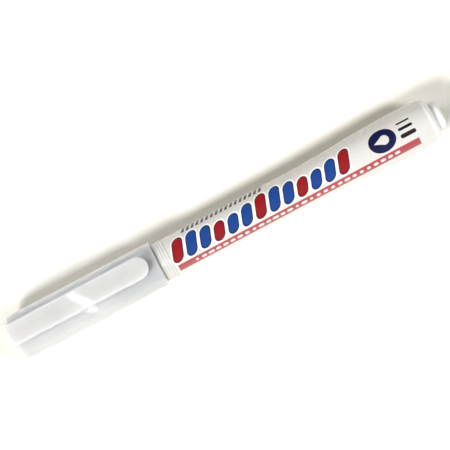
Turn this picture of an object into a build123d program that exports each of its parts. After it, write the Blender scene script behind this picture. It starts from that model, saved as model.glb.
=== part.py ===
from build123d import *
import os
from math import cos, pi, sin, sqrt

# Paint marker with a spring valve, capped and lying on its side.
# X runs along the marker with the cap at -X and the tail at +X, and +Z is up, where the pocket clip is.
# The origin is on the table, under the middle of the marker. All sizes are in millimetres.

# Barrel: straight under the hand, swelling to the cap's width and tucked in at the tail
grip_diameter = 11.5
barrel_wall = 1.0
grip_length = 43.0
swell_length = 34.4
swell_land_length = 2.3
tuck_length = 7.2
tuck_depth = 0.5
rear_lip = 0.7
front_chamfer = 0.3

# Tail plug
tail_shoulder_length = 1.85
tail_shoulder_step = 1.4
tail_boss_radius = 4.3
tail_boss_length = 1.55
tail_end_round = 1.1
spigot_length = 7.0
spigot_wall = 1.0
spigot_chamfer = 0.4

# Tip holder, from the barrel forwards
gasket_thickness = 0.8
gasket_recess = 0.15
flange_thickness = 1.5
flange_recess = 0.25
holder_wall = 1.05
holder_plug_length = 8.0
collar_wall = 1.0
collar_length = 5.0
pocket_reach = 2.5
shoulder_cone_length = 4.0
nose_radius = 3.0
nose_length = 6.0
front_cone_length = 3.0
front_wall = 0.8
feed_radius = 1.8

# Nib and its steel tube
nib_radius = 0.75
nib_point_radius = 0.4
nib_point_length = 2.0
nib_exposed = 2.6
nib_clearance = 0.05
nib_travel = 1.2
tube_wall = 0.6
tube_exposed = 4.5
tube_seat_length = 8.0

# Valve behind the nib
rod_radius = 1.0
rod_length = 5.0
rod_flow_gap = 0.5
seat_thickness = 1.2
housing_wall = 0.8
housing_flange_thickness = 1.0
housing_flange_recess = 0.25
head_gap = 0.5
head_thickness = 1.5
guide_pin_radius = 0.8
guide_pin_reach = 1.3
guide_clearance = 0.05
retainer_thickness = 1.5
flow_hole_radius = 0.5
flow_hole_count = 4
spring_wire_radius = 0.22
spring_wire_sides = 6
spring_turns = 5
spring_end_gap = 0.05

# Mixing ball, loose in the reservoir
ball_radius = 2.25
ball_clearance = 0.05
ball_front_gap = 2.5

# Cap and its inner liner
cap_overlap = 12.2
cap_clearance = 0.1
cap_wall = 0.9
cap_draft = 0.15
cap_end_wall = 1.6
cap_end_round = 1.6
cap_lip_chamfer = 0.15
cap_mouth_chamfer = 0.4
cap_shoulder_gap = 0.6
snap_clearance = 0.03
tip_room = 4.9
liner_end_wall = 1.0
liner_wall = 0.9
liner_relief = 0.4
liner_seal_clearance = 0.05
liner_seal_length = 3.0
liner_flange_length = 2.0

# Pocket clip on the cap
clip_width = 6.5
clip_thickness = 1.8
clip_gap = 0.7
clip_root_length = 6.5
clip_root_sink = 0.5
clip_tip_setback = 2.6
clip_edge_round = 0.6
clip_bead_setback = 4.0
clip_bead_gap = 0.3
clip_bead_inset = 0.6

# Radii that follow from the fits
grip_radius = grip_diameter / 2
bore_radius = grip_radius - barrel_wall
cap_bore_radius = grip_radius + cap_clearance
cap_mouth_radius = cap_bore_radius + cap_wall
body_radius = cap_mouth_radius + cap_draft
tuck_radius = body_radius - tuck_depth
rear_bore_radius = tuck_radius - rear_lip
pocket_radius = bore_radius - holder_wall
collar_radius = pocket_radius + collar_wall
flange_radius = grip_radius - flange_recess
gasket_radius = flange_radius - gasket_recess
tube_bore_radius = nib_radius + nib_clearance
tube_radius = tube_bore_radius + tube_wall
holder_front_radius = tube_radius + front_wall
housing_bore_radius = pocket_radius - housing_wall
head_radius = housing_bore_radius - head_gap
liner_flange_radius = collar_radius + cap_shoulder_gap
liner_bore_radius = nose_radius + liner_relief
snap_radius = flange_radius + snap_clearance

# Lengths that follow from what lies inside
tip_length = nib_exposed + tube_exposed + front_cone_length + nose_length
holder_reach = tip_length + shoulder_cone_length + collar_length + flange_thickness + gasket_thickness
cap_length = cap_end_wall + liner_end_wall + tip_room + holder_reach + cap_overlap
barrel_exposed = grip_length + swell_length + swell_land_length + tuck_length
tail_length = tail_shoulder_length + tail_boss_length + tail_end_round
total_length = cap_length + barrel_exposed + tail_length

# Stations along the marker, from the closed end of the cap to the tail
x_cap_end = -total_length / 2
x_mouth = x_cap_end + cap_length
x_barrel_front = x_mouth - cap_overlap
x_flange_rear = x_barrel_front - gasket_thickness
x_flange_front = x_flange_rear - flange_thickness
x_collar_front = x_flange_front - collar_length
x_nose_rear = x_collar_front - shoulder_cone_length
x_nose_front = x_nose_rear - nose_length
x_holder_front = x_nose_front - front_cone_length
x_tube_front = x_holder_front - tube_exposed
x_tube_rear = x_holder_front + tube_seat_length
x_nib_tip = x_tube_front - nib_exposed
x_liner_front = x_cap_end + cap_end_wall
x_liner_rear = x_nose_front + liner_seal_length
x_holder_rear = x_barrel_front + holder_plug_length
x_housing_rear = x_holder_rear + housing_flange_thickness
x_retainer_rear = x_holder_rear
x_retainer_front = x_retainer_rear - retainer_thickness
x_pocket = x_flange_front - pocket_reach
x_seat_rear = x_pocket + seat_thickness
x_rod_front = x_seat_rear - rod_length
x_head_rear = x_seat_rear + head_thickness
x_pin_rear = x_retainer_rear + guide_pin_reach
x_swell = x_mouth + grip_length
x_swell_end = x_swell + swell_length
x_tuck = x_swell_end + swell_land_length
x_barrel_rear = x_tuck + tuck_length
x_boss = x_barrel_rear + tail_shoulder_length
x_tail_round = x_boss + tail_boss_length
x_tail = x_tail_round + tail_end_round

# The marker's axis lies one body radius above the table
axis_height = body_radius
marker_axis = Axis((0, 0, axis_height), (1, 0, 0))
# Half sections are drawn here: local x along the marker, local y the radius
half_section = Plane(origin=(0, 0, axis_height), x_dir=(1, 0, 0), z_dir=(0, -1, 0))


def cross_section(x):
    """The plane square to the marker at station x, facing the tail."""
    return Plane(origin=(x, 0, axis_height), x_dir=(0, 1, 0), z_dir=(1, 0, 0))


def finish(piece, name):
    """Name a finished piece and write it to its own file."""
    piece.part.label = name
    export_step(piece.part, f"parts/{name}.step")


os.makedirs("parts", exist_ok=True)

# Barrel
with BuildPart() as barrel:
    with BuildSketch(half_section):
        with BuildLine():
            Polyline(
                (x_barrel_rear, tuck_radius),
                (x_barrel_rear, rear_bore_radius),
                (x_swell_end, rear_bore_radius),
                (x_swell, bore_radius),
                (x_barrel_front, bore_radius),
                (x_barrel_front, grip_radius - front_chamfer),
                (x_barrel_front + front_chamfer, grip_radius),
                (x_swell, grip_radius),
            )
            swell_middle = ((x_swell + x_swell_end) / 2, (grip_radius + body_radius) / 2)
            swell_start = TangentArc((x_swell, grip_radius), swell_middle, tangent=(1, 0))
            TangentArc(swell_middle, (x_swell_end, body_radius), tangent=swell_start % 1)
            Line((x_swell_end, body_radius), (x_tuck, body_radius))
            TangentArc((x_tuck, body_radius), (x_barrel_rear, tuck_radius), tangent=(1, 0))
        make_face()
    revolve(axis=marker_axis)
finish(barrel, "barrel")

# Tail plug: a hollow spigot pressed into the barrel, a rounded shoulder and a small boss with a rounded end
with BuildPart() as tail_plug:
    x_spigot = x_barrel_rear - spigot_length
    shoulder_radius = tuck_radius - tail_shoulder_step
    with BuildSketch(half_section):
        with BuildLine():
            Polyline(
                (x_tail, tail_boss_radius - tail_end_round),
                (x_tail, 0),
                (x_barrel_rear, 0),
                (x_barrel_rear, rear_bore_radius - spigot_wall),
                (x_spigot, rear_bore_radius - spigot_wall),
                (x_spigot, rear_bore_radius - spigot_chamfer),
                (x_spigot + spigot_chamfer, rear_bore_radius),
                (x_barrel_rear, rear_bore_radius),
                (x_barrel_rear, tuck_radius),
            )
            TangentArc((x_barrel_rear, tuck_radius), (x_boss, shoulder_radius), tangent=(1, 0))
            Polyline((x_boss, shoulder_radius), (x_boss, tail_boss_radius), (x_tail_round, tail_boss_radius))
            TangentArc(
                (x_tail_round, tail_boss_radius),
                (x_tail, tail_boss_radius - tail_end_round),
                tangent=(1, 0),
            )
        make_face()
    revolve(axis=marker_axis)
finish(tail_plug, "tail_plug")

# Tip holder: pressed into the barrel, stepped down to the nib tube, hollow for the valve
with BuildPart() as tip_holder:
    with BuildSketch(half_section):
        with BuildLine():
            Polyline(
                (x_holder_rear, bore_radius),
                (x_flange_rear, bore_radius),
                (x_flange_rear, flange_radius),
                (x_flange_front, flange_radius),
                (x_flange_front, collar_radius),
                (x_collar_front, collar_radius),
                (x_nose_rear, nose_radius),
                (x_nose_front, nose_radius),
                (x_holder_front, holder_front_radius),
                (x_holder_front, tube_radius),
                (x_tube_rear, tube_radius),
                (x_tube_rear, feed_radius),
                (x_pocket, feed_radius),
                (x_pocket, pocket_radius),
                (x_holder_rear, pocket_radius),
                close=True,
            )
        make_face()
    revolve(axis=marker_axis)
finish(tip_holder, "tip_holder")

# Flat gasket between the holder's flange and the barrel
with BuildPart() as holder_gasket:
    with BuildSketch(cross_section(x_flange_rear)):
        Circle(gasket_radius)
        Circle(bore_radius, mode=Mode.SUBTRACT)
    extrude(amount=gasket_thickness)
finish(holder_gasket, "holder_gasket")

# Steel tube that carries the nib
with BuildPart() as nib_tube:
    with BuildSketch(cross_section(x_tube_front)):
        Circle(tube_radius)
        Circle(tube_bore_radius, mode=Mode.SUBTRACT)
    extrude(amount=tube_exposed + tube_seat_length)
finish(nib_tube, "nib_tube")

# Nib: a thin rod with a rounded point, its rear end on the valve's rod
with BuildPart() as nib:
    with BuildSketch(half_section):
        with BuildLine():
            point_end = (x_nib_tip + nib_point_radius, nib_point_radius)
            TangentArc((x_nib_tip, 0), point_end, tangent=(0, 1))
            Polyline(
                point_end,
                (x_nib_tip + nib_point_length, nib_radius),
                (x_rod_front, nib_radius),
                (x_rod_front, 0),
                (x_nib_tip, 0),
            )
        make_face()
    revolve(axis=marker_axis)
finish(nib, "nib")

# Rubber seat at the bottom of the holder's pocket
with BuildPart() as valve_seat:
    with BuildSketch(cross_section(x_pocket)):
        Circle(pocket_radius)
        Circle(rod_radius + rod_flow_gap, mode=Mode.SUBTRACT)
    extrude(amount=seat_thickness)
finish(valve_seat, "valve_seat")

# Valve housing: a sleeve that clamps the seat, with a flange on the holder's rear end
with BuildPart() as valve_housing:
    with BuildSketch(half_section):
        with BuildLine():
            Polyline(
                (x_seat_rear, housing_bore_radius),
                (x_seat_rear, pocket_radius),
                (x_holder_rear, pocket_radius),
                (x_holder_rear, bore_radius - housing_flange_recess),
                (x_housing_rear, bore_radius - housing_flange_recess),
                (x_housing_rear, housing_bore_radius),
                close=True,
            )
        make_face()
    revolve(axis=marker_axis)
finish(valve_housing, "valve_housing")

# Valve stem: a rod to the nib, a head that closes on the seat and a pin that guides the spring
with BuildPart() as valve_stem:
    with BuildSketch(half_section):
        with BuildLine():
            Polyline(
                (x_rod_front, 0),
                (x_rod_front, rod_radius),
                (x_seat_rear, rod_radius),
                (x_seat_rear, head_radius),
                (x_head_rear, head_radius),
                (x_head_rear, guide_pin_radius),
                (x_pin_rear, guide_pin_radius),
                (x_pin_rear, 0),
                close=True,
            )
        make_face()
    revolve(axis=marker_axis)
finish(valve_stem, "valve_stem")

# Spring retainer: a disc in the housing with a guide hole and holes that let the paint through
with BuildPart() as spring_retainer:
    guide_radius = guide_pin_radius + guide_clearance
    with BuildSketch(cross_section(x_retainer_front)):
        Circle(housing_bore_radius)
        Circle(guide_radius, mode=Mode.SUBTRACT)
        with PolarLocations((guide_radius + housing_bore_radius) / 2, flow_hole_count):
            Circle(flow_hole_radius, mode=Mode.SUBTRACT)
    extrude(amount=retainer_thickness)
finish(spring_retainer, "spring_retainer")

# Valve spring: one wire on a helix between the head and the retainer, a pair of arcs for each quarter turn
spring_radius = head_radius - spring_wire_radius
spring_start = x_head_rear + spring_end_gap + spring_wire_radius
spring_length = x_retainer_front - spring_end_gap - spring_wire_radius - spring_start
spring_pitch = spring_length / spring_turns


def spring_point(turn):
    """The middle of the wire after so many turns."""
    angle = 2 * pi * turn
    return Vector(
        spring_start + spring_pitch * turn,
        spring_radius * cos(angle),
        axis_height + spring_radius * sin(angle),
    )


def spring_direction(turn):
    """The way the wire runs after so many turns."""
    angle = 2 * pi * turn
    around = 2 * pi * spring_radius
    return Vector(spring_pitch, -around * sin(angle), around * cos(angle)).normalized()


def arc_joint(start, start_direction, end, end_direction):
    """The point where two tangent arcs from start to end meet."""
    chord = end - start
    both = start_direction + end_direction
    along = chord.dot(both)
    bend = 2 * (1 - start_direction.dot(end_direction))
    reach = (sqrt(along**2 + bend * chord.dot(chord)) - along) / bend
    return (start + end + (start_direction - end_direction) * reach) / 2


with BuildPart() as valve_spring:
    with BuildLine() as spring_wire:
        for quarter in range(4 * spring_turns):
            start = spring_point(quarter / 4)
            end = spring_point((quarter + 1) / 4)
            leaving = spring_direction(quarter / 4)
            joint = arc_joint(start, leaving, end, spring_direction((quarter + 1) / 4))
            first_arc = TangentArc(start, joint, tangent=leaving)
            TangentArc(joint, end, tangent=first_arc % 1)
    with BuildSketch(Plane(origin=spring_point(0), z_dir=spring_direction(0))):
        RegularPolygon(spring_wire_radius, spring_wire_sides)
    sweep(path=spring_wire.line)
finish(valve_spring, "valve_spring")

# Mixing ball, lying at the bottom of the reservoir behind the valve
with BuildPart() as mixing_ball:
    x_ball = max(x_housing_rear, x_pin_rear + nib_travel) + ball_front_gap + ball_radius
    ball_height = axis_height - bore_radius + ball_clearance + ball_radius
    with BuildSketch(Plane(origin=(x_ball, 0, ball_height), x_dir=(1, 0, 0), z_dir=(0, -1, 0))):
        with BuildLine():
            CenterArc((0, 0), ball_radius, start_angle=0, arc_size=180)
            Line((-ball_radius, 0), (ball_radius, 0))
        make_face()
    revolve(axis=Axis((x_ball, 0, ball_height), (1, 0, 0)))
finish(mixing_ball, "mixing_ball")

# Cap: the clip is drawn first and freed underneath along the cap's own curve, then the shell is added
with BuildPart() as cap:
    clip_half_width = clip_width / 2
    clip_tip_middle = x_mouth - clip_tip_setback - clip_half_width
    clip_underside_radius = body_radius + clip_gap
    clip_underside = axis_height + clip_underside_radius
    clip_seat = axis_height + sqrt(body_radius**2 - clip_half_width**2) - clip_root_sink
    with BuildSketch(Plane.XY.offset(clip_seat)):
        with BuildLine():
            Polyline(
                (clip_tip_middle, -clip_half_width),
                (x_cap_end, -clip_half_width),
                (x_cap_end, clip_half_width),
                (clip_tip_middle, clip_half_width),
            )
            CenterArc((clip_tip_middle, 0), clip_half_width, start_angle=-90, arc_size=180)
        make_face()
    extrude(amount=clip_underside + clip_thickness - clip_seat)
    fillet(faces().sort_by(Axis.Z)[-1].edges(), radius=clip_edge_round)
    with BuildSketch(half_section):
        with BuildLine():
            x_gap = x_cap_end + clip_root_length
            Polyline(
                (x_gap + clip_gap / 2, clip_underside_radius),
                (x_mouth, clip_underside_radius),
                (x_mouth, 0),
                (x_gap, 0),
                (x_gap, clip_underside_radius - clip_gap / 2),
            )
            TangentArc(
                (x_gap, clip_underside_radius - clip_gap / 2),
                (x_gap + clip_gap / 2, clip_underside_radius),
                tangent=(0, 1),
            )
        make_face()
    revolve(axis=marker_axis, mode=Mode.SUBTRACT)
    with BuildSketch(Plane.XZ):
        with Locations((clip_tip_middle + clip_half_width - clip_bead_setback, clip_underside)):
            Circle(clip_gap - clip_bead_gap)
    extrude(amount=clip_half_width - clip_bead_inset, both=True)
    with BuildSketch(half_section):
        with BuildLine():
            TangentArc(
                (x_cap_end, body_radius - cap_end_round),
                (x_cap_end + cap_end_round, body_radius),
                tangent=(0, 1),
            )
            Polyline(
                (x_cap_end + cap_end_round, body_radius),
                (x_mouth - cap_lip_chamfer, cap_mouth_radius),
                (x_mouth, cap_mouth_radius - cap_lip_chamfer),
                (x_mouth, cap_bore_radius + cap_mouth_chamfer),
                (x_mouth - cap_mouth_chamfer, cap_bore_radius),
                (x_barrel_front, cap_bore_radius),
                ((x_flange_rear + x_barrel_front) / 2, snap_radius),
                (x_flange_rear, cap_bore_radius),
                (x_flange_front, cap_bore_radius),
                (x_flange_front, liner_flange_radius),
                (x_liner_front, liner_flange_radius),
                (x_liner_front, 0),
                (x_cap_end, 0),
                (x_cap_end, body_radius - cap_end_round),
            )
        make_face()
    revolve(axis=marker_axis)
finish(cap, "cap")

# Cap liner: a thin cup on the cap's end wall, held by its flange, with a sealing lip at its mouth
with BuildPart() as cap_liner:
    x_lip = x_nose_front - liner_relief
    with BuildSketch(half_section):
        with BuildLine():
            Polyline(
                (x_liner_front, 0),
                (x_liner_front, liner_bore_radius + liner_wall),
                (x_liner_rear - liner_flange_length, liner_bore_radius + liner_wall),
                (x_liner_rear - liner_flange_length, liner_flange_radius),
                (x_liner_rear, liner_flange_radius),
                (x_liner_rear, nose_radius + liner_seal_clearance),
                (x_nose_front, nose_radius + liner_seal_clearance),
                (x_lip, liner_bore_radius),
                (x_liner_front + liner_end_wall, liner_bore_radius),
                (x_liner_front + liner_end_wall, 0),
                close=True,
            )
        make_face()
    revolve(axis=marker_axis)
finish(cap_liner, "cap_liner")

# Least gap between neighbouring turns of the spring, measured from points on the wire
turn_steps = 24
wire_points = [spring_point(step / turn_steps) for step in range(turn_steps * spring_turns + 1)]
turn_gap = min(
    (later - earlier).length
    for place, earlier in enumerate(wire_points)
    for later in wire_points[place + turn_steps // 2:]
)
print(f"spring turns clear each other by {turn_gap - 2 * spring_wire_radius:.2f} mm")
print(f"cap {cap_length:.1f} mm, marker {total_length:.1f} mm, body {2 * body_radius:.1f} mm")
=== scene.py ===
from math import cos, pi, radians, sin

import bpy
from mathutils import Matrix, Quaternion, Vector


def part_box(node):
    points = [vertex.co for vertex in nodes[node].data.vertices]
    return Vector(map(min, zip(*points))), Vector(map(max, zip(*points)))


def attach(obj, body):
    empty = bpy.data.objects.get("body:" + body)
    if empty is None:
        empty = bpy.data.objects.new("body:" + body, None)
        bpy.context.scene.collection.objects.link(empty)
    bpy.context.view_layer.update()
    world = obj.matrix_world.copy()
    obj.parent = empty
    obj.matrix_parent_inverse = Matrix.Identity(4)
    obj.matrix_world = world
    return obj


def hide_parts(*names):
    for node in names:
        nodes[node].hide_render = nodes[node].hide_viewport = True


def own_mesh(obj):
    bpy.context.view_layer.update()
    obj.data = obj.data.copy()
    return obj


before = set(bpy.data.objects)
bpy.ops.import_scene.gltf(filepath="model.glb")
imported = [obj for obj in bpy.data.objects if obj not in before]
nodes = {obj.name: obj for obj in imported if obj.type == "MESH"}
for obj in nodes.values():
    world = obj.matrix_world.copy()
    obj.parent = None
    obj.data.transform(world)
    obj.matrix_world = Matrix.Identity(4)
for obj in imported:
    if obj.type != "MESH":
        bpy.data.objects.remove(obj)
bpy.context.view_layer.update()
MM = 0.001

# Sizes in millimetres, as in the part's source
AXIS_Z = 6.9
MOUTH_X = -22.15
GRIP_RADIUS = 5.75

# Fine ribs on the barrel in front of the print, in millimetres from the cap's mouth
RIB_PITCH, RIB_START, RIB_COUNT = 0.85, 0.28, 4
RIB_HALF_WIDTH, RIB_PROUD, RIB_SUNK = 0.3, 0.09, 0.1

# Sockets of the colour mix node, and a distance that puts a print cell out of sight
MIX_A, MIX_B, MIX_RESULT = 6, 7, 2
OUT_OF_SIGHT = 9.0


class Graph:
    """A material's nodes, with short calls for the sums that its patterns need."""

    def __init__(self, name):
        self.material = bpy.data.materials.new(name)
        self.material.use_nodes = True
        self.tree = self.material.node_tree
        self.shader = self.tree.nodes["Principled BSDF"]

    def put(self, value, socket):
        if isinstance(value, bpy.types.NodeSocket):
            self.tree.links.new(value, socket)
        else:
            socket.default_value = value

    def set(self, **inputs):
        for name, value in inputs.items():
            self.put(value, self.shader.inputs[name.replace("_", " ")])

    def sum(self, operation, *values):
        node = self.tree.nodes.new("ShaderNodeMath")
        node.operation = operation
        for value, socket in zip(values, node.inputs):
            self.put(value, socket)
        return node.outputs[0]

    def add(self, a, b):
        return self.sum("ADD", a, b)

    def sub(self, a, b):
        return self.sum("SUBTRACT", a, b)

    def mul(self, a, b):
        return self.sum("MULTIPLY", a, b)

    def size(self, a):
        return self.sum("ABSOLUTE", a)

    def most(self, a, b):
        return self.sum("MAXIMUM", a, b)

    def least(self, a, b):
        return self.sum("MINIMUM", a, b)

    def length(self, a, b):
        return self.sum("SQRT", self.add(self.mul(a, a), self.mul(b, b)))

    def beyond(self, value, middle, half):
        """How far a value lies outside a half width on both sides of a middle."""
        return self.sub(self.size(self.sub(value, middle)), half)

    def outside(self, value, start, end):
        """How far a value lies outside a span."""
        return self.most(self.sub(start, value), self.sub(value, end))

    def cells(self, value, pitch):
        """The number of the cell that a value falls in, and its distance from that cell's middle."""
        cell = self.sum("FLOOR", self.sum("DIVIDE", value, pitch))
        return cell, self.sub(value, self.mul(self.add(cell, 0.5), pitch))

    def only_cells(self, distance, cell, middle, half):
        """A signed distance, moved out of sight in all cells but those near a middle one."""
        other = self.sum("GREATER_THAN", self.size(self.sub(cell, middle)), half)
        return self.add(distance, self.mul(other, OUT_OF_SIGHT))

    def ramp(self, value, start, end, low=0.0, high=1.0):
        node = self.tree.nodes.new("ShaderNodeMapRange")
        node.clamp = True
        for v, socket in zip((value, start, end, low, high), node.inputs):
            self.put(v, socket)
        return node.outputs[0]

    def inside(self, distance, soft=0.05):
        """1 where a signed distance in millimetres is negative, with a soft edge."""
        return self.ramp(distance, -soft, soft, 1.0, 0.0)

    def without(self, shape, hole):
        """The ink of one signed distance with another cut out of it."""
        return self.mul(self.inside(shape), self.sub(1.0, self.inside(hole)))

    def mix(self, share, a, b):
        node = self.tree.nodes.new("ShaderNodeMix")
        node.data_type = "RGBA"
        self.put(share, node.inputs["Factor"])
        for value, number in ((a, MIX_A), (b, MIX_B)):
            colour = value if isinstance(value, bpy.types.NodeSocket) else (*value, 1.0)
            self.put(colour, node.inputs[number])
        return node.outputs[MIX_RESULT]

    def place(self, scale=(1000.0, 1000.0, 1000.0)):
        """The point on the object, by default in millimetres."""
        coordinate = self.tree.nodes.new("ShaderNodeTexCoord")
        mapping = self.tree.nodes.new("ShaderNodeMapping")
        mapping.inputs["Scale"].default_value = scale
        self.tree.links.new(coordinate.outputs["Object"], mapping.inputs["Vector"])
        return mapping.outputs[0]

    def axes(self, vector):
        node = self.tree.nodes.new("ShaderNodeSeparateXYZ")
        self.put(vector, node.inputs[0])
        return node.outputs

    def noise(self, vector, scale, detail):
        node = self.tree.nodes.new("ShaderNodeTexNoise")
        self.put(vector, node.inputs["Vector"])
        node.inputs["Scale"].default_value = scale
        node.inputs["Detail"].default_value = detail
        return node.outputs["Fac"]

    def random(self, cell):
        """A fixed number from 0 to 1 for each cell."""
        node = self.tree.nodes.new("ShaderNodeTexWhiteNoise")
        node.noise_dimensions = "1D"
        self.put(cell, node.inputs["W"])
        return node.outputs["Value"]

    def crease(self, reach, open_at, shut_at):
        """A mask for painted shade: 1 deep in the piece's own narrow corners, 0 on its open faces, over a reach
        in millimetres.
        """
        node = self.tree.nodes.new("ShaderNodeAmbientOcclusion")
        node.only_local = True
        node.samples = 12
        node.inputs["Distance"].default_value = reach * MM
        return self.ramp(node.outputs["AO"], shut_at, open_at, 1.0, 0.0)

    def bump(self, height, depth):
        """Relief from a height of 0 to 1, to a depth in millimetres."""
        node = self.tree.nodes.new("ShaderNodeBump")
        node.inputs["Strength"].default_value = 1.0
        node.inputs["Distance"].default_value = depth * MM
        self.put(height, node.inputs["Height"])
        self.put(node.outputs[0], self.shader.inputs["Normal"])


def moulded(name, light, dark, rough, grain, coat=0.0, depth=0.0, corner_shade_colour=None):
    """Moulded plastic with a faint mottle, a fine grain and uneven gloss.

    Light soaks in to a depth in millimetres, and painted shade darkens the piece's own narrow corners."""
    g = Graph(name)
    place = g.place()
    mottle = g.noise(place, scale=0.16, detail=3.0)
    colour = g.mix(g.ramp(mottle, 0.3, 0.7), light, dark)
    # Painted shade: a dark colour mixed in where ambient occlusion finds narrow corners, such as under the clip
    if corner_shade_colour:
        corners = g.crease(reach=2.5, open_at=0.62, shut_at=0.45)
        colour = g.mix(g.mul(corners, g.ramp(mottle, 0.2, 0.8, 1.0, 0.75)), colour, corner_shade_colour)
    gloss = g.noise(place, scale=0.9, detail=4.0)
    g.set(
        Base_Color=colour,
        Roughness=g.ramp(gloss, 0.25, 0.75, rough - 0.04, rough + 0.05),
        Coat_Weight=coat,
        Coat_Roughness=0.035,
        Subsurface_Weight=1.0 if depth else 0.0,
        Subsurface_Radius=(1.0, 0.95, 0.9),
        Subsurface_Scale=depth * MM,
    )
    g.bump(g.noise(place, scale=9.0, detail=2.0), grain)
    return g.material


def metal(name, colour, rough, along):
    """Drawn or polished steel with fine lines along the given scale."""
    g = Graph(name)
    lines = g.noise(g.place(along), scale=1.0, detail=3.0)
    darker = tuple(0.82 * c for c in colour)
    g.set(
        Base_Color=g.mix(g.ramp(lines, 0.3, 0.7), colour, darker),
        Metallic=1.0,
        Roughness=g.ramp(lines, 0.2, 0.8, rough * 0.8, rough * 1.3),
    )
    g.bump(lines, 0.004)
    return g.material


def fibre():
    """Pressed fibre: short streaks along the nib."""
    g = Graph("nib_fibre")
    streaks = g.noise(g.place((700.0, 9000.0, 9000.0)), scale=1.0, detail=4.0)
    g.set(
        Base_Color=g.mix(g.ramp(streaks, 0.3, 0.7), (0.74, 0.74, 0.72), (0.60, 0.60, 0.585)),
        Roughness=g.ramp(streaks, 0.2, 0.8, 0.75, 0.95),
    )
    g.bump(streaks, 0.02)
    return g.material


# The print's parts. Lengths are in millimetres: u runs along the barrel from the cap's mouth, v round it from the
# top towards the near side, and lean is u along a slanted line.
SLANT = -0.36


def print_strokes(g, lean, v):
    """Slanted strokes with round ends on one base line, rising and falling in height.

    Gives the ink, its dark rim, the white round it, and where the ink is red."""
    half, base_line = 1.74, 3.7
    cell, across = g.cells(lean, pitch=4.45)
    tall = g.add(6.3, g.mul(g.sum("SINE", g.mul(cell, 1.05)), 0.9))
    half_tall = g.mul(tall, 0.5)
    straight = g.sub(half_tall, half)
    along = g.most(g.beyond(v, g.sub(base_line, half_tall), straight), 0.0)
    stroke = g.only_cells(g.sub(g.length(across, along), half), cell, middle=7.0, half=6.5)
    ink = g.inside(stroke)
    rim = g.mul(ink, g.ramp(stroke, -0.42, -0.22))
    halo = g.inside(g.sub(stroke, 0.45), soft=0.12)
    red = g.sum("LESS_THAN", g.sum("MODULO", g.add(cell, 2.0), 3.0), 0.5)
    return ink, rim, halo, red


def print_stripe(g, u, v):
    """A stripe on the near side, broken by pale dashes of uneven length."""
    middle = 5.6
    stripe = g.most(g.beyond(v, middle, half=1.25), g.outside(u, 4.6, 82.1))
    cell, dash_u = g.cells(u, pitch=2.3)
    dash_half = g.mul(g.random(cell), 0.55)
    past_dash = g.most(g.sub(g.size(dash_u), dash_half), 0.0)
    dashes = g.sub(g.length(past_dash, g.sub(v, middle)), 0.48)
    return g.without(stripe, g.most(dashes, g.outside(u, 10.0, 76.5)))


def print_ticks(g, lean, v):
    """A row of slanted ticks high on the far side."""
    cell, across = g.cells(lean, pitch=1.55)
    tick = g.most(g.sub(g.size(across), 0.46), g.beyond(v, -5.5, half=1.25))
    return g.inside(g.only_cells(tick, cell, middle=13.0, half=8.5))


def print_badge(g, u, v):
    """A round badge with a drop cut out of it."""
    u, v = g.sub(u, 72.3), g.sub(v, 0.3)
    badge = g.sub(g.length(u, g.mul(v, 1.22)), 4.15)
    drop_round = g.sub(g.length(g.sub(u, 0.6), v), 1.4)
    drop_point = g.most(g.sub(g.size(v), g.mul(g.add(u, 2.6), 0.45)), g.sub(u, 0.2))
    return g.without(badge, g.least(drop_round, drop_point))


def print_lines(g, u, v):
    """Three lines of rising width after the badge."""
    along = g.most(g.beyond(u, 79.9, half=1.8), 0.0)
    thin, medium, thick = (
        g.sub(g.length(along, g.sub(v, middle)), half)
        for middle, half in ((-2.0, 0.26), (-0.2, 0.42), (1.9, 0.62))
    )
    return g.inside(g.least(g.least(thin, medium), thick))


def bare_barrel(g, place, u):
    """The barrel's white, with painted shade in the grooves between the fine ribs and a painted contact shadow
    where the cap's lip meets the barrel.
    """
    mottle = g.noise(place, scale=0.2, detail=3.0)
    base = g.mix(g.ramp(mottle, 0.3, 0.7), (0.70, 0.685, 0.655), (0.67, 0.652, 0.62))
    streak = g.noise(g.place((60.0, 1500.0, 1500.0)), scale=1.0, detail=2.0)
    base = g.mix(g.ramp(streak, 0.55, 0.8, 0.0, 0.25), base, (0.62, 0.60, 0.57))
    # Painted shade: darker in the grooves between the fine ribs
    groove = g.sum("COSINE", g.mul(g.sub(u, RIB_START), 2 * pi / RIB_PITCH))
    ribbed = g.inside(g.beyond(u, 2.1, half=1.95), soft=0.2)
    groove_shade = g.mul(g.ramp(groove, 0.3, 0.95), ribbed)
    base = g.mix(g.mul(groove_shade, 0.5), base, (0.45, 0.435, 0.41))
    # Painted shadow: a dark ring where the cap's lip meets the barrel, painted on the barrel itself
    lip_shadow = g.inside(g.beyond(u, 0.05, half=0.2), soft=0.16)
    return g.mix(g.mul(lip_shadow, 0.62), base, (0.17, 0.168, 0.16))


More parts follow.
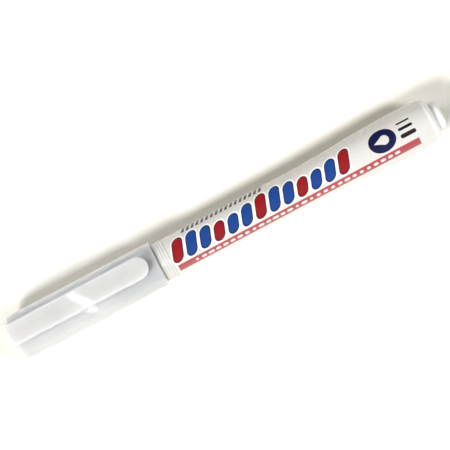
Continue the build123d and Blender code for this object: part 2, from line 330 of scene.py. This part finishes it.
def print_barrel():
    """Gloss white barrel with a generic print in ink that stands a little proud."""
    g = Graph("barrel_print")
    place = g.place()
    x, y, z = g.axes(place)
    u = g.sub(x, MOUTH_X)
    height = g.sub(z, AXIS_Z)
    v = g.mul(g.sum("ARCTAN2", g.mul(y, -1.0), height), g.length(y, height))
    lean = g.sub(u, g.mul(v, SLANT))

    stroke_ink, rim, halo, red_stroke = print_strokes(g, lean, v)
    stripe_ink = print_stripe(g, u, v)
    tick_ink = print_ticks(g, lean, v)
    badge_ink = print_badge(g, u, v)
    line_ink = print_lines(g, u, v)

    colour = g.mix(halo, bare_barrel(g, place, u), (0.90, 0.89, 0.87))
    fade = g.ramp(v, -3.0, 3.0)
    blue = g.mix(fade, (0.012, 0.065, 0.29), (0.006, 0.045, 0.23))
    red = g.mix(fade, (0.34, 0.008, 0.014), (0.25, 0.005, 0.01))
    stroke_colour = g.mix(red_stroke, blue, red)
    rim_colour = g.mix(red_stroke, (0.002, 0.01, 0.07), (0.07, 0.003, 0.005))
    for ink, ink_colour in (
        (stroke_ink, g.mix(rim, stroke_colour, rim_colour)),
        (stripe_ink, (0.40, 0.075, 0.085)),
        (tick_ink, (0.02, 0.018, 0.02)),
        (badge_ink, (0.004, 0.007, 0.055)),
        (line_ink, (0.006, 0.006, 0.008)),
    ):
        colour = g.mix(ink, colour, ink_colour)
    inks = g.most(g.most(stroke_ink, stripe_ink), g.most(g.most(tick_ink, badge_ink), line_ink))

    gloss = g.noise(place, scale=0.7, detail=4.0)
    g.set(
        Base_Color=colour,
        Roughness=g.add(g.ramp(gloss, 0.25, 0.75, 0.2, 0.3), g.mul(inks, 0.08)),
        Coat_Weight=0.3,
        Coat_Roughness=0.08,
    )
    waves = g.noise(place, scale=2.2, detail=2.0)
    g.bump(g.add(g.mul(waves, 0.6), g.mul(inks, 0.35)), 0.012)
    return g.material


looks = {
    "barrel": print_barrel(),
    "tail_plug": moulded(
        "tail_white", (0.86, 0.855, 0.83), (0.81, 0.80, 0.78), rough=0.24, grain=0.004, coat=0.3
    ),
    "cap": moulded(
        "cap_white", (0.67, 0.668, 0.667), (0.63, 0.628, 0.627),
        # painted shade in the cap's corners: dark grey
        rough=0.34, grain=0.006, coat=0.6, depth=5.5, corner_shade_colour=(0.20, 0.20, 0.20),
    ),
    "cap_liner": moulded("liner_plastic", (0.70, 0.71, 0.71), (0.64, 0.65, 0.65), rough=0.45, grain=0.01),
    "tip_holder": moulded("holder_white", (0.70, 0.70, 0.69), (0.66, 0.66, 0.65), rough=0.35, grain=0.006),
    "holder_gasket": moulded("seal_rubber", (0.03, 0.03, 0.031), (0.05, 0.05, 0.05), rough=0.7, grain=0.02),
    "nib_tube": metal("tube_steel", (0.68, 0.69, 0.70), rough=0.25, along=(300.0, 12000.0, 12000.0)),
    "nib": fibre(),
    "valve_housing": moulded("valve_plastic", (0.64, 0.66, 0.66), (0.58, 0.60, 0.60), rough=0.4, grain=0.01),
    "valve_spring": metal("spring_steel", (0.62, 0.63, 0.65), rough=0.3, along=(5000.0, 5000.0, 5000.0)),
    "mixing_ball": metal("ball_steel", (0.60, 0.61, 0.63), rough=0.12, along=(2500.0, 2500.0, 2500.0)),
}
looks["valve_seat"] = looks["holder_gasket"]
looks["valve_stem"] = looks["spring_retainer"] = looks["valve_housing"]
for name, node in nodes.items():
    node.data.materials.clear()
    node.data.materials.append(looks[name])


def build(name, points, faces, look):
    """A smooth mesh piece with flat ends where a face has more than four corners."""
    mesh = bpy.data.meshes.new(name)
    mesh.from_pydata(points, [], faces)
    mesh.validate()
    for face in mesh.polygons:
        face.use_smooth = len(face.vertices) == 4
    mesh.materials.append(look)
    piece = bpy.data.objects.new(name, mesh)
    bpy.context.scene.collection.objects.link(piece)
    return piece


def ring_ribs(name, middles, radius, half_width, proud, sunk, look):
    """Low round-backed rings about the marker's axis, sunk a little into what carries them.

    Sizes are in millimetres."""
    steps, sides = 4, 72
    turns = [pi * i / steps for i in range(steps + 1)]
    profile = [(half_width * cos(turn), proud * sin(turn)) for turn in turns]
    profile += [(-half_width, -sunk), (half_width, -sunk)]
    count = len(profile)
    points, faces = [], []
    for middle in middles:
        first = len(points)
        for k in range(sides):
            turn = 2 * pi * k / sides
            for x, rise in profile:
                r = radius + rise
                points.append(Vector((middle + x, r * cos(turn), AXIS_Z + r * sin(turn))) * MM)
        for k in range(sides):
            here, there = first + k * count, first + (k + 1) % sides * count
            for i in range(count):
                j = (i + 1) % count
                faces.append((here + i, here + j, there + j, there + i))
    return build(name, points, faces, look)


def coil(name, node, wire, turns, look):
    """A spring of round wire along the marker, filling the box of a CAD spring. Sizes are in metres."""
    low, high = (Vector(corner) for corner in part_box(node))
    radius = (high.y - low.y) / 2 - wire
    start, end = low.x + wire, high.x - wire
    rings, sides = 48 * turns, 12
    around_axis = 2 * pi * radius
    points, faces = [], []
    for i in range(rings + 1):
        turn = 2 * pi * turns * i / rings
        outward = Vector((0.0, cos(turn), sin(turn)))
        middle = Vector((start + (end - start) * i / rings, 0.0, AXIS_Z * MM)) + radius * outward
        forward = Vector(((end - start) / turns, -around_axis * sin(turn), around_axis * cos(turn)))
        sideways = forward.normalized().cross(outward)
        for k in range(sides):
            around = 2 * pi * k / sides
            points.append(middle + wire * (cos(around) * outward + sin(around) * sideways))
    for i in range(rings):
        for k in range(sides):
            a, b = i * sides + k, i * sides + (k + 1) % sides
            faces.append((a, b, b + sides, a + sides))
    faces += [tuple(range(sides))[::-1], tuple(rings * sides + k for k in range(sides))]
    return build(name, points, faces, look)


# Fine ribs on the barrel, between the cap's lip and the print
rib_middles = [MOUTH_X + RIB_START + (i + 0.5) * RIB_PITCH for i in range(RIB_COUNT)]
ribs = ring_ribs(
    "barrel_ribs", rib_middles, GRIP_RADIUS, RIB_HALF_WIDTH, RIB_PROUD, RIB_SUNK, looks["barrel"]
)
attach(ribs, "barrel")

# Valve spring: a fixed coil of round wire carried with the barrel, in place of the hidden CAD spring; the real
# spring shortens from its front end as the nib is pressed
spring = coil("valve_spring_wire", "valve_spring", wire=0.22 * MM, turns=5, look=looks["valve_spring"])
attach(spring, "barrel")
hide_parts("valve_spring")
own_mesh(spring)

# Floor
floor_mesh = bpy.data.meshes.new("floor")
floor_mesh.from_pydata([(-3, -3, 0), (3, -3, 0), (3, 3, 0), (-3, 3, 0)], [], [(0, 1, 2, 3)])
floor = bpy.data.objects.new("floor", floor_mesh)
bpy.context.scene.collection.objects.link(floor)
g = Graph("floor_white")
patches = g.ramp(g.noise(g.place(), scale=0.02, detail=2.0), 0.3, 0.7)
g.set(
    Base_Color=g.mix(patches, (0.92, 0.895, 0.83), (0.90, 0.875, 0.81)),
    Roughness=0.7,
    Specular_IOR_Level=0.2,
)
floor_mesh.materials.append(g.material)

# Camera: almost straight over the marker, leaning a little to its near side. FAR is its distance and WIDE the
# width that it sees there, in metres.
LEAN, TURN, FAR, WIDE, SENSOR = radians(10.0), radians(28.0), 0.55, 0.129, 36.0
across = Vector((0.0, cos(LEAN), sin(LEAN)))
along = Vector((1.0, 0.0, 0.0))
back = Vector((0.0, -sin(LEAN), cos(LEAN)))
right = cos(TURN) * along - sin(TURN) * across
up = sin(TURN) * along + cos(TURN) * across
aim = Vector((-0.32, 0.0, AXIS_Z)) * MM + across * 0.76 * MM
lens = bpy.data.cameras.new("camera")
lens.sensor_width = SENSOR
lens.lens = SENSOR * FAR / WIDE
lens.clip_start, lens.clip_end = 0.01, 20.0
camera = bpy.data.objects.new("camera", lens)
bpy.context.scene.collection.objects.link(camera)
turn = Matrix((right, up, back)).transposed()
camera.matrix_world = Matrix.Translation(aim + back * FAR) @ turn.to_4x4()
bpy.context.scene.camera = camera


def hang(data, place, aim, roll=0.0):
    """Put a light at a place, facing another, rolled by some degrees."""
    item = bpy.data.objects.new(data.name, data)
    item.visible_camera = False
    bpy.context.scene.collection.objects.link(item)
    item.location = place
    item.rotation_mode = "QUATERNION"
    facing = (Vector(aim) - Vector(place)).to_track_quat("-Z", "Y")
    item.rotation_quaternion = facing @ Quaternion((0, 0, 1), radians(roll))


def softbox(name, azimuth, elevation, strength, colour):
    """A far softbox, which lights the whole floor evenly."""
    data = bpy.data.lights.new(name, "SUN")
    data.angle = radians(14.3)
    data.energy = strength
    data.color = colour
    az, el = radians(azimuth), radians(elevation)
    hang(data, (cos(el) * cos(az), cos(el) * sin(az), sin(el)), (0, 0, 0))


def strip_lamp(name, place, aim, size, watts, roll=0.0, colour=(1.0, 1.0, 1.0)):
    """A small lamp: a fill for the cap's far side, or a highlight where the cap mirrors it."""
    data = bpy.data.lights.new(name, "AREA")
    data.shape = "RECTANGLE"
    data.size, data.size_y = size
    data.energy = watts
    data.color = colour
    hang(data, place, aim, roll)


# Lights
COOL, WARM, BLUISH = (0.993, 1.0, 1.015), (1.04, 1.0, 0.88), (0.92, 0.98, 1.14)
softbox("right", azimuth=326.5, elevation=43.0, strength=1.95, colour=COOL)
softbox("left", azimuth=213.5, elevation=43.0, strength=2.65, colour=COOL)
softbox("end", azimuth=150.0, elevation=42.0, strength=0.86, colour=WARM)
softbox("far", azimuth=175.0, elevation=50.0, strength=0.23, colour=WARM)
strip_lamp(
    "fill", place=(-0.052, 0.06, 0.025), aim=(-0.043, 0.004, 0.01), size=(0.05, 0.02), watts=0.01, colour=BLUISH
)
strip_lamp(
    "glint_top", place=(-0.0922, 0.0942, 0.5487), aim=(-0.0468, 0.0, 0.0163), size=(0.0035, 0.013), watts=0.0036,
    roll=15.0,
)
strip_lamp(
    "glint_side", place=(-0.0826, -0.419, 0.285), aim=(-0.0826, -0.004, 0.012), size=(0.004, 0.3), watts=0.06
)
world = bpy.data.worlds.new("studio")
world.use_nodes = True
sky = world.node_tree.nodes["Background"]
sky.inputs["Color"].default_value = (1.0, 0.97, 0.92, 1.0)
sky.inputs["Strength"].default_value = 0.06
bpy.context.scene.world = world
bpy.context.scene.view_settings.view_transform = "Standard"
